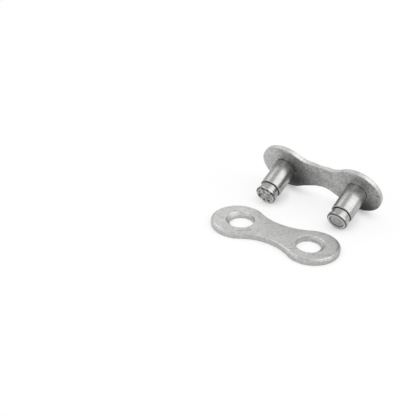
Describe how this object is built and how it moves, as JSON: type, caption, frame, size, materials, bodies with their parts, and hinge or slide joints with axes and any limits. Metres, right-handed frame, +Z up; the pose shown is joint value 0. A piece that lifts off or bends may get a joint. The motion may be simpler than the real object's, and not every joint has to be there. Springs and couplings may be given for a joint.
{
  "type": "chain connecting link",
  "caption": "Snap-together connecting link for a half-inch pitch roller chain: an outer plate with necked pins, and a loose snap plate with countersunk locking holes.",
  "frame": {"origin": "middle of the open link's footprint, on the surface that it lies on", "axes": "+X along the pin link from its left pin to its right pin, +Y from the snap plate towards the pin plate, +Z up"},
  "size_m": [0.0214, 0.0196, 0.008],
  "materials": {
    "pin_plate_steel": "stamped and tumbled, satin grey, rougher on its faces than on its cut edge",
    "pin_steel": "turned, bright and smooth along the body, with fine rings on the neck and head",
    "snap_plate_steel": "stamped and tumbled, satin light grey with fine scratches"
  },
  "bodies": {
    "root": {"pin_plate": "pin_plate_steel", "left_pin": "pin_steel", "right_pin": "pin_steel", "snap_plate": "snap_plate_steel"}
  },
  "joints": []
}
